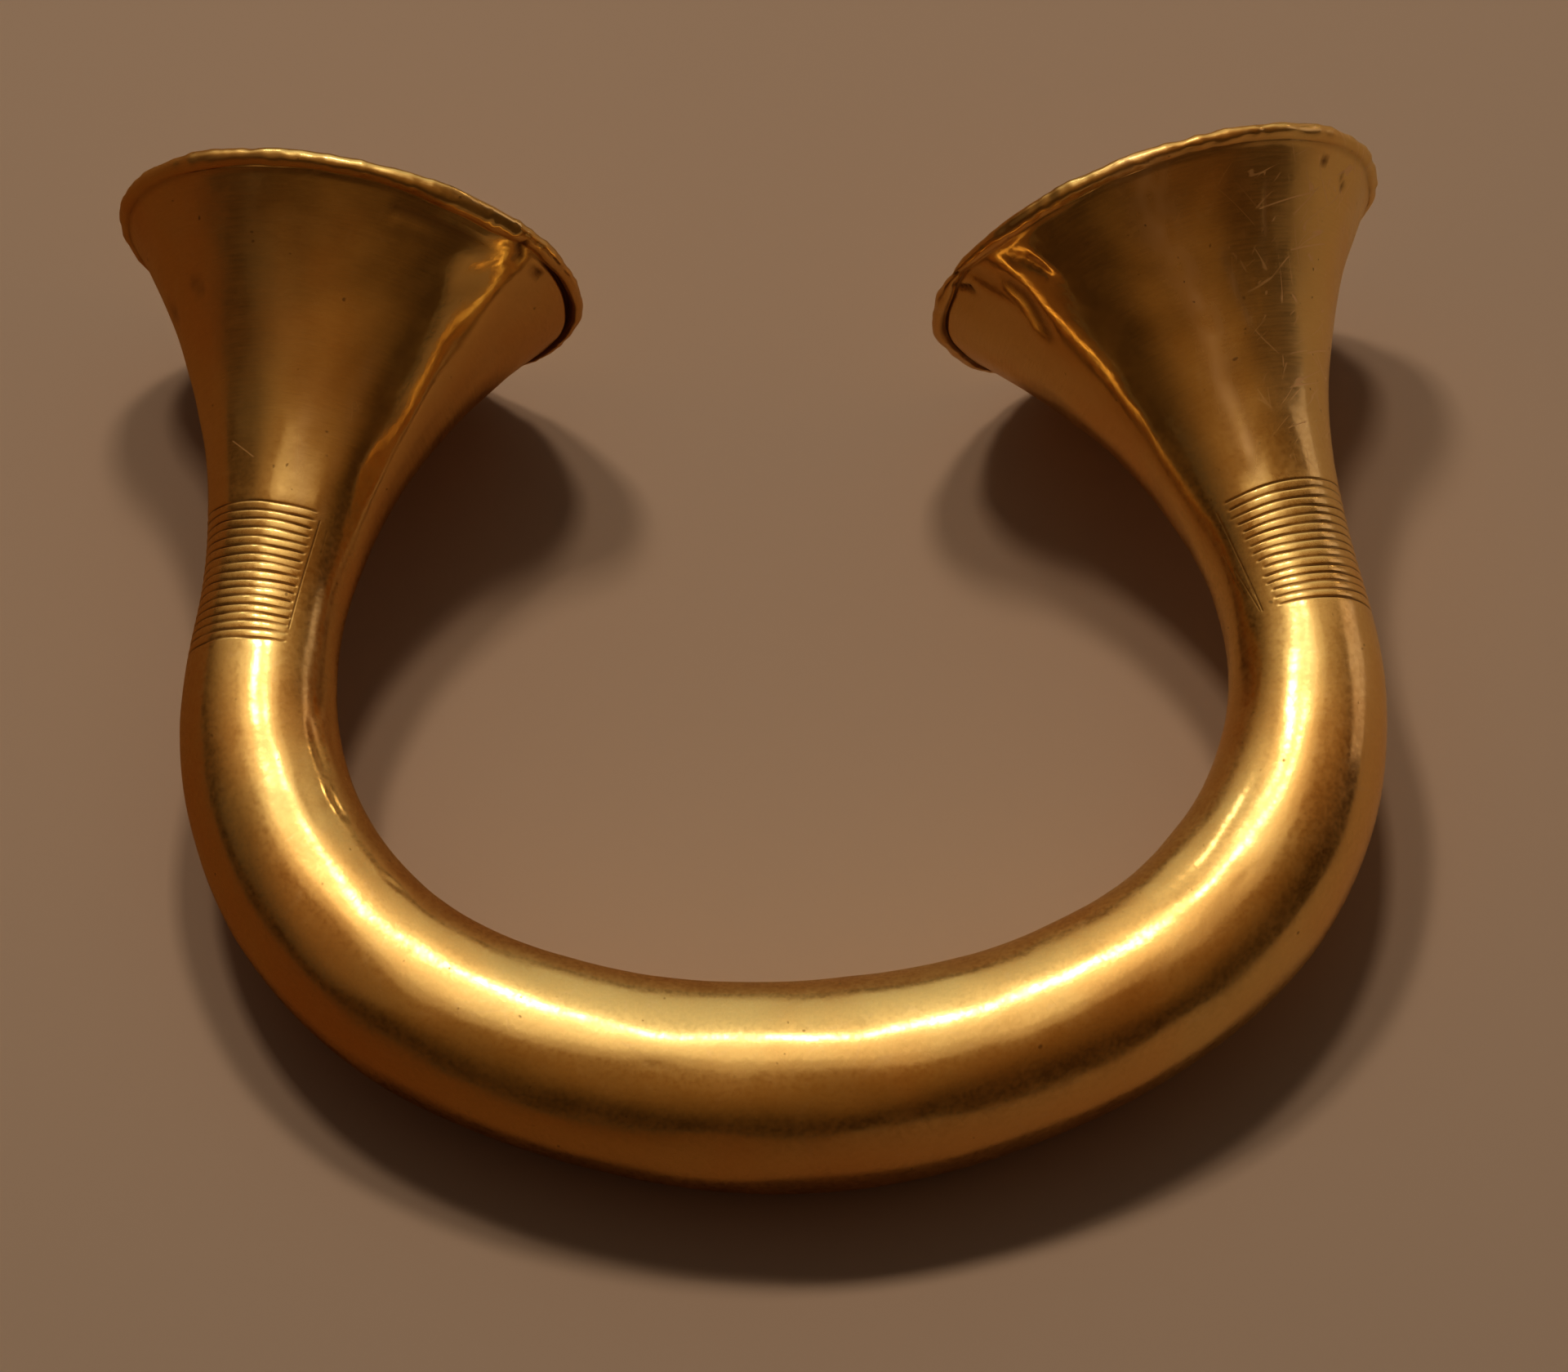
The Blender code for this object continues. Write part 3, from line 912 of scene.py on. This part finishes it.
spots = node(tree, "TexWhiteNoise", {"Vector": place["Straight"]}).outputs["Value"]
worn = maths(tree, "LESS_THAN", spots, share)
satin = mix(tree, "Float", worn, mix(tree, "Float", on_flank, POLISHED, BURNISHED), WORN)
satin = mix(tree, "Float", rub_and_sheen, satin, RUBBED_ROUGHNESS)
satin = mix(tree, "Float", scratches, satin, SCRATCHED_ROUGHNESS)
satin = mix(tree, "Float", in_hollow, satin, HOLLOW_ROUGHNESS)
satin = mix(tree, "Float", dirt_and_shade, satin, DIRTY_ROUGHNESS)
put(tree, shader.inputs["Roughness"], satin)

# The finest relief: waves to a metre with their finer detail, and heights in metres. The dimples
# follow the mottles, and the scratches are cut into all of it
HAMMER_MARKS = (800.0, 1.0)
HAMMER_HEIGHT = 0.000011
DIMPLE_HEIGHT = 0.000006
GRAIN = (5200.0, 1.0)
GRAIN_HEIGHT = 0.000001
hammered = waves(tree, place["Straight"], *HAMMER_MARKS)
grain = waves(tree, place["Straight"], *GRAIN)
height = maths(tree, "MULTIPLY", hammered, HAMMER_HEIGHT)
height = maths(tree, "ADD", height, maths(tree, "MULTIPLY", mottled, DIMPLE_HEIGHT))
height = maths(tree, "ADD", height, maths(tree, "MULTIPLY", grain, GRAIN_HEIGHT))
height = maths(tree, "SUBTRACT", height, maths(tree, "MULTIPLY", scratches, SCRATCH_DEPTH))
height = maths(tree, "SUBTRACT", height, maths(tree, "MULTIPLY", scored, SCORE_DEPTH))
bump = node(tree, "Bump", {"Height": height, "Strength": 1.0, "Distance": 1.0})
put(tree, shader.inputs["Normal"], bump.outputs["Normal"])
mesh.materials.append(gold)

# The floor: plain, pale and matt, and so large that its edge is out of sight from above. Under the
# bracelet it is level with the three flats.
FLOOR_SIZE = 6.0
FLOOR_COLOUR = (0.86, 0.70, 0.57, 1)
FLOOR_ROUGHNESS = 0.9
floor_mesh = bpy.data.meshes.new("floor")
floor_bm = bmesh.new()
bmesh.ops.create_grid(floor_bm, x_segments=1, y_segments=1, size=FLOOR_SIZE / 2)
floor_bm.to_mesh(floor_mesh)
floor_bm.free()
floor = bpy.data.objects.new("floor", floor_mesh)
bpy.context.scene.collection.objects.link(floor)
pale_floor = bpy.data.materials.new("pale_floor")
pale_floor.use_nodes = True
tree = pale_floor.node_tree
shader = tree.nodes["Principled BSDF"]
shader.inputs["Roughness"].default_value = FLOOR_ROUGHNESS
floor_mesh.materials.append(pale_floor)

# Painted shade: what the gold mirrors of the floor is painted browner, most of all towards the left,
# as a shadow there
SHADED_FLOOR = (0.42, 0.22, 0.08, 1)
SHADE_FROM = -0.05
SHADE_TO = 0.09
on_floor = node(tree, "TexCoord", {}).outputs["Object"]
across = node(tree, "SeparateXYZ", {"Vector": on_floor}).outputs["X"]
lit = eased_range(tree, across, SHADE_FROM, SHADE_TO)
mirrored_with_painted_shade = mix(tree, "Color", lit, SHADED_FLOOR, FLOOR_COLOUR)
in_gold = node(tree, "LightPath", {}).outputs["Is Glossy Ray"]
put(tree, shader.inputs["Base Color"], mix(tree, "Color", in_gold, FLOOR_COLOUR, mirrored_with_painted_shade))

# The light: warm soft lamps high behind the bracelet, large cards overhead and low ones at the
# sides, in a dim room. The metal and the floor are lit apart, each by lamps of its own, so that the
# shadows on the floor stay deep.
LAMP_AIM = Vector((0, 0, 0.015))
LAMP_WHITE = (1.0, 0.95, 0.88)
LAMP_AMBER = (1.0, 0.78, 0.55)
LAMP_ROSE = (1.0, 0.84, 0.88)


def softbox(name, bearing, elevation, distance, size, power, colour=LAMP_WHITE):
    """A square soft light. Its bearing is counted from +Y towards +X, in degrees."""
    light = bpy.data.lights.new(name, "AREA")
    light.shape = "SQUARE"
    light.size = size
    light.energy = power
    light.color = colour
    lamp = bpy.data.objects.new(name, light)
    turn, rise = math.radians(bearing), math.radians(elevation)
    level = Vector((math.sin(turn), math.cos(turn), 0))
    direction = level * math.cos(rise) + Vector((0, 0, math.sin(rise)))
    lamp.location = LAMP_AIM + direction * distance
    lamp.rotation_euler = direction.to_track_quat("Z", "Y").to_euler()
    bpy.context.scene.collection.objects.link(lamp)
    return lamp


# What the metal shows: each lamp's bearing, elevation, distance, size and power
for lamp in (
    softbox("key_left", -26, 63, 1.0, 0.11, 0.36),
    softbox("key_right", 5, 64, 1.0, 0.11, 0.36),
    softbox("overhead", 0, 80, 1.2, 0.62, 0.30),
    softbox("overhead_wide", 0, 80, 1.25, 1.18, 0.95),
    softbox("left_lamp", -27, 33, 1.0, 0.12, 0.15),
    softbox("left_card", -100, 35, 1.2, 0.9, 0.08),
    softbox("low_right_lamp", 46, 12, 1.0, 0.05, 0.08, LAMP_AMBER),
    softbox("right_card", 68, 10, 1.0, 0.42, 0.21, LAMP_ROSE),
):
    lamp.visible_diffuse = False

# What lights the floor: the same two keys, and a weak fill from all round
FLOOR_LAMP = (1.0, 0.84, 0.68)
FILL_POWER = 0.16
FILL_ANGLE = math.radians(120)
floor_left = softbox("floor_left", -26, 63, 1.0, 0.11, 1.05, FLOOR_LAMP)
floor_right = softbox("floor_right", 5, 64, 1.0, 0.11, 1.05, FLOOR_LAMP)
fill_light = bpy.data.lights.new("floor_fill", "SUN")
fill_light.energy = FILL_POWER
fill_light.angle = FILL_ANGLE
fill_light.color = FLOOR_LAMP
floor_fill = bpy.data.objects.new("floor_fill", fill_light)
bpy.context.scene.collection.objects.link(floor_fill)
for lamp in (floor_left, floor_right, floor_fill):
    lamp.visible_glossy = False

# The room that the metal mirrors: nearly dark all round, lighter overhead, and with a pale wall
# behind. Beyond the floor's edge it goes on in the look of the floor. A height up is the upward part
# of the direction, 0 at the horizon and 1 overhead.
DARK_ROOM = (1.0, 0.55, 0.22, 1)
DARK_STRENGTH = 0.038
OVERHEAD_STRENGTH = 0.19
DARK_UP_TO = 0.2
PALE_WALL = (1.0, 0.93, 0.82, 1)
WALL_STRENGTH = 0.39
WALL_TOWARDS = (0.0, 0.94, 0.34)
WALL_EDGE = 0.30
WALL_FOOT = 0.20
FAR_FLOOR = (1.0, 0.78, 0.57, 1)
FAR_FLOOR_STRENGTH = 0.075
FAR_FLOOR_HEIGHTS = (0.015, 0.045)
world = bpy.data.worlds.new("room")
bpy.context.scene.world = world
world.use_nodes = True
world.cycles_visibility.diffuse = False
sky = world.node_tree
direction = node(sky, "TexCoord", {}).outputs["Generated"]
behind = vector_maths(sky, "DOT_PRODUCT", direction, WALL_TOWARDS)
height_up = node(sky, "SeparateXYZ", {"Vector": direction}).outputs["Z"]
wall = eased_range(sky, behind, WALL_EDGE, 1.0)
wall = maths(sky, "MULTIPLY", wall, eased_range(sky, height_up, 0.0, WALL_FOOT))
above = eased_range(sky, height_up, DARK_UP_TO, 1.0, DARK_STRENGTH, OVERHEAD_STRENGTH)
from_horizon = maths(sky, "ABSOLUTE", height_up)
at_floor = eased_range(sky, from_horizon, *FAR_FLOOR_HEIGHTS, 1.0, 0.0)
strength = maths(sky, "ADD", above, maths(sky, "MULTIPLY", wall, WALL_STRENGTH))
strength = mix(sky, "Float", at_floor, strength, FAR_FLOOR_STRENGTH)
colour = mix(sky, "Color", wall, DARK_ROOM, PALE_WALL)
put(sky, sky.nodes["Background"].inputs["Color"], mix(sky, "Color", at_floor, colour, FAR_FLOOR))
put(sky, sky.nodes["Background"].inputs["Strength"], strength)
bpy.context.scene.view_settings.view_transform = "Standard"
bpy.context.scene.view_settings.look = "High Contrast"

# The camera looks down on the bracelet from the bow's side, from far off through a long lens. It is
# aimed over the middle of the floor, then moved a little to its own right and down.
CAMERA_AZIMUTH = math.radians(-3.29)
CAMERA_ELEVATION = math.radians(58.70)
CAMERA_ROLL = math.radians(-0.26)
CAMERA_LENS = 262.5
CAMERA_DISTANCE = 0.840
AIM_HEIGHT = 0.012
AIM_RIGHT = 0.00026
AIM_UP = -0.00100

back = Vector((
    math.sin(CAMERA_AZIMUTH) * math.cos(CAMERA_ELEVATION),
    -math.cos(CAMERA_AZIMUTH) * math.cos(CAMERA_ELEVATION),
    math.sin(CAMERA_ELEVATION),
))
level = Vector((0, 0, 1)).cross(back).normalized()
upright = back.cross(level)
right = level * math.cos(CAMERA_ROLL) + upright * math.sin(CAMERA_ROLL)
up = upright * math.cos(CAMERA_ROLL) - level * math.sin(CAMERA_ROLL)
camera_data = bpy.data.cameras.new("camera")
camera_data.lens = CAMERA_LENS
camera = bpy.data.objects.new("camera", camera_data)
stand = Vector((0, 0, AIM_HEIGHT)) + right * AIM_RIGHT + up * AIM_UP + back * CAMERA_DISTANCE
camera.matrix_world = Matrix.Translation(stand) @ Matrix((right, up, back)).transposed().to_4x4()
bpy.context.scene.collection.objects.link(camera)
bpy.context.scene.camera = camera
